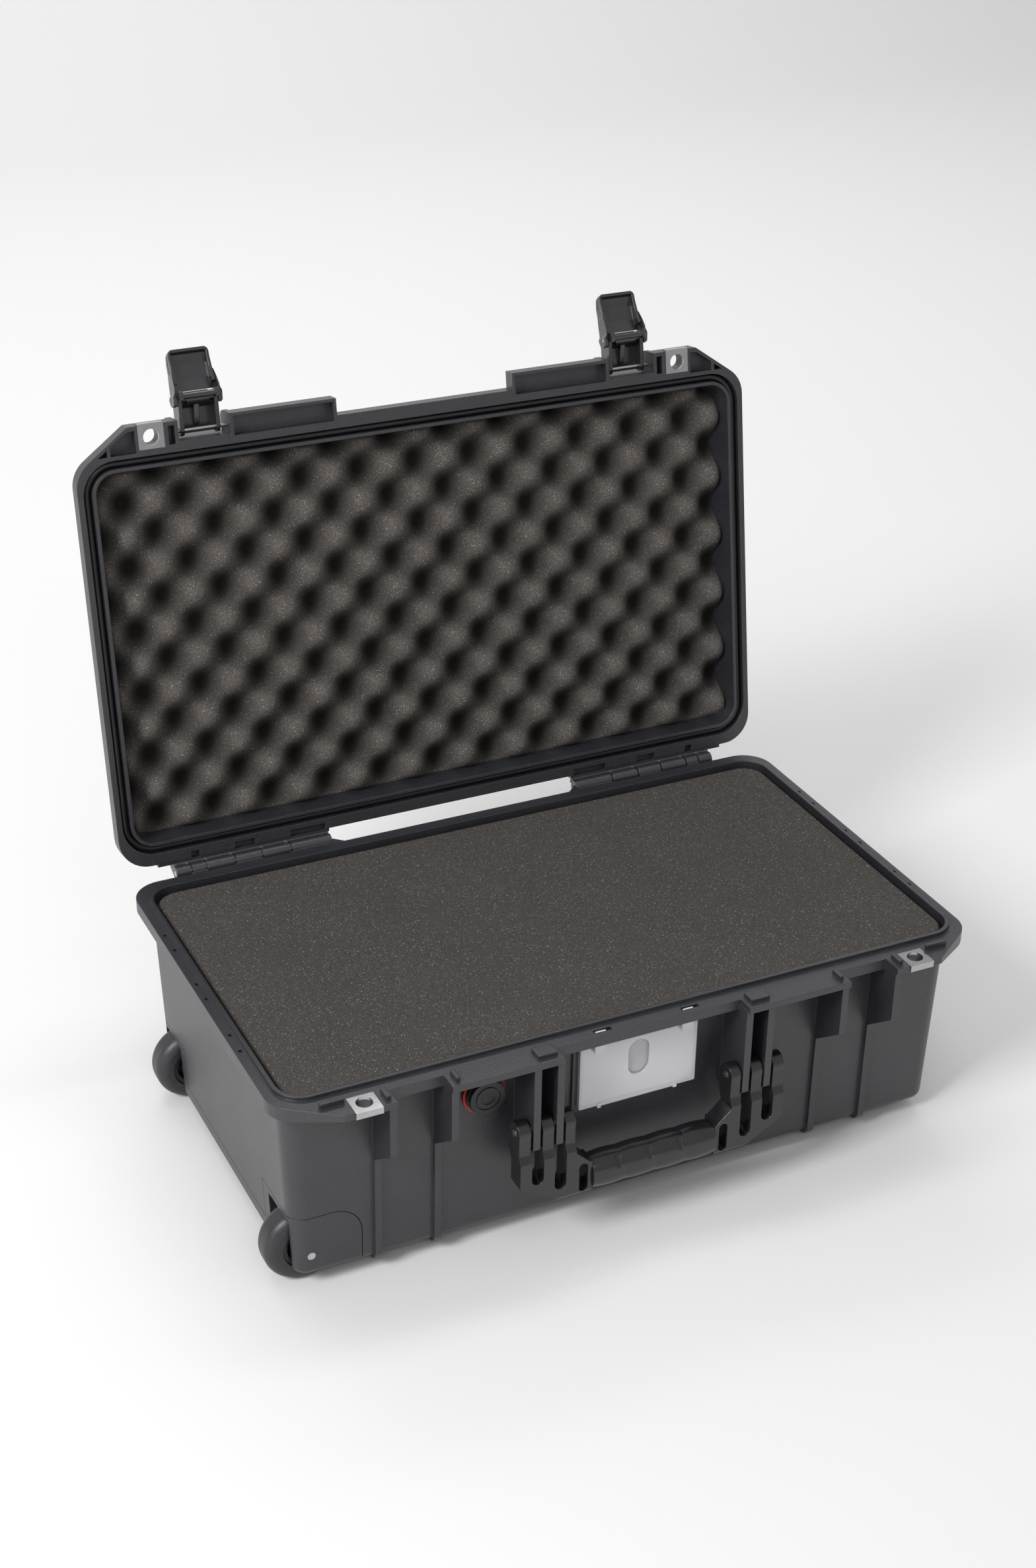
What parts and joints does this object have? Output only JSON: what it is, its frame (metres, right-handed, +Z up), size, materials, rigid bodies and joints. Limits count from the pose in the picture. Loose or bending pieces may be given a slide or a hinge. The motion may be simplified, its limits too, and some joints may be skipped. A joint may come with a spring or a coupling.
{
  "type": "wheeled hard case",
  "caption": "Moulded hard case with a hinged, latched lid, sheet foam in the base, egg-crate foam in the lid, wheels, fold-down handles and a pull-out handle.",
  "frame": {"origin": "middle of the underside of the base, on the face of its bottom cover; the floor is 12 mm lower, under the wheels and the moulded feet", "axes": "+X along the case to the pull-out handle end, wheels at -X; the front with the latches and handle faces -Y; +Z up"},
  "size_m": [0.5595, 0.4655, 0.5561],
  "materials": {
    "base_foam": "matte",
    "button": "satin",
    "card": "matte",
    "clear": "gloss",
    "gasket": "satin",
    "grip": "satin",
    "handle": "satin",
    "hub": "satin",
    "latch": "satin",
    "lid_foam": "matte",
    "plate": "satin",
    "red_seal": "matte",
    "shell": "matte",
    "steel": "satin",
    "tube": "satin",
    "tyre": "satin",
    "vent": "satin"
  },
  "bodies": {
    "base": {"base_foam_lower": "base_foam", "base_foam_pad": "base_foam", "base_foam_upper": "base_foam", "base_shell": "shell", "bottom_cover": "shell", "bottom_cover_screws": "steel", "card_cover": "clear", "front_handle_pin_left": "steel", "front_handle_pin_right": "steel", "hinge_pin_left": "steel", "hinge_pin_right": "steel", "name_card": "card", "padlock_plate_base_left": "plate", "padlock_plate_base_right": "plate", "pull_handle_outer_tubes": "tube", "side_handle_pins": "steel", "vent_body": "vent", "vent_cap": "vent", "vent_seal": "red_seal", "wheel_axle_back": "steel", "wheel_axle_front": "steel", "wheel_carrier": "shell"},
    "lid": {"latch_pivot_pin_left": "steel", "latch_pivot_pin_right": "steel", "lid_foam": "lid_foam", "lid_gasket": "gasket", "lid_shell": "shell", "padlock_plate_lid_left": "plate", "padlock_plate_lid_right": "plate"},
    "latch_link_left": {"latch_body_left": "latch"},
    "latch_link_right": {"latch_body_right": "latch"},
    "latch_paddle_left": {"latch_lever_left": "latch", "latch_lever_pin_left": "steel"},
    "latch_paddle_right": {"latch_lever_right": "latch", "latch_lever_pin_right": "steel"},
    "front_handle": {"front_handle_frame": "handle", "front_handle_grip": "grip"},
    "side_handle": {"side_handle_frame": "handle", "side_handle_grip": "grip"},
    "pull_handle": {"pull_handle_inner_tubes": "tube", "pull_handle_grip": "handle"},
    "pull_button": {"pull_handle_button": "button"},
    "front_wheel": {"wheel_tyre_front": "tyre", "wheel_hub_front": "hub", "wheel_bearings_front": "steel"},
    "back_wheel": {"wheel_tyre_back": "tyre", "wheel_hub_back": "hub", "wheel_bearings_back": "steel"}
  },
  "joints": [
    {"name": "lid_hinge", "type": "hinge", "parent": "base", "child": "lid", "pos_m": [0, 0.1728, 0.1548], "axis": [1, 0, 0], "range_deg": [0, 98.9]},
    {"name": "latch_link_left_pivot", "type": "hinge", "parent": "lid", "child": "latch_link_left", "pos_m": [-0.1785, 0.2404, 0.48826], "axis": [1, 0, 0], "range_deg": [0, 90]},
    {"name": "latch_paddle_left_pivot", "type": "hinge", "parent": "latch_link_left", "child": "latch_paddle_left", "pos_m": [-0.1785, 0.24355, 0.51155], "axis": [1, 0, 0], "range_deg": [-48, 22]},
    {"name": "latch_link_right_pivot", "type": "hinge", "parent": "lid", "child": "latch_link_right", "pos_m": [0.1785, 0.2404, 0.48826], "axis": [1, 0, 0], "range_deg": [0, 90]},
    {"name": "latch_paddle_right_pivot", "type": "hinge", "parent": "latch_link_right", "child": "latch_paddle_right", "pos_m": [0.1785, 0.24355, 0.51155], "axis": [1, 0, 0], "range_deg": [-48, 22]},
    {"name": "front_handle_pivot", "type": "hinge", "parent": "base", "child": "front_handle", "pos_m": [0, -0.1676, 0.0966], "axis": [-1, 0, 0], "range_deg": [0, 95]},
    {"name": "side_handle_pivot", "type": "hinge", "parent": "base", "child": "side_handle", "pos_m": [0.2737, 0, 0.122], "axis": [0, -1, 0], "range_deg": [0, 95]},
    {"name": "pull_handle_slide", "type": "slide", "parent": "base", "child": "pull_handle", "axis": [1, 0, 0], "range_m": [0, 0.38]},
    {"name": "pull_button_press", "type": "slide", "parent": "pull_handle", "child": "pull_button", "axis": [-1, 0, 0], "range_m": [0, 0.003], "stiffness_N_per_m": 500},
    {"name": "front_wheel_spin", "type": "hinge", "parent": "base", "child": "front_wheel", "pos_m": [-0.251, -0.12, 0.0175], "axis": [0, 1, 0], "continuous": true},
    {"name": "back_wheel_spin", "type": "hinge", "parent": "base", "child": "back_wheel", "pos_m": [-0.251, 0.12, 0.0175], "axis": [0, 1, 0], "continuous": true}
  ]
}
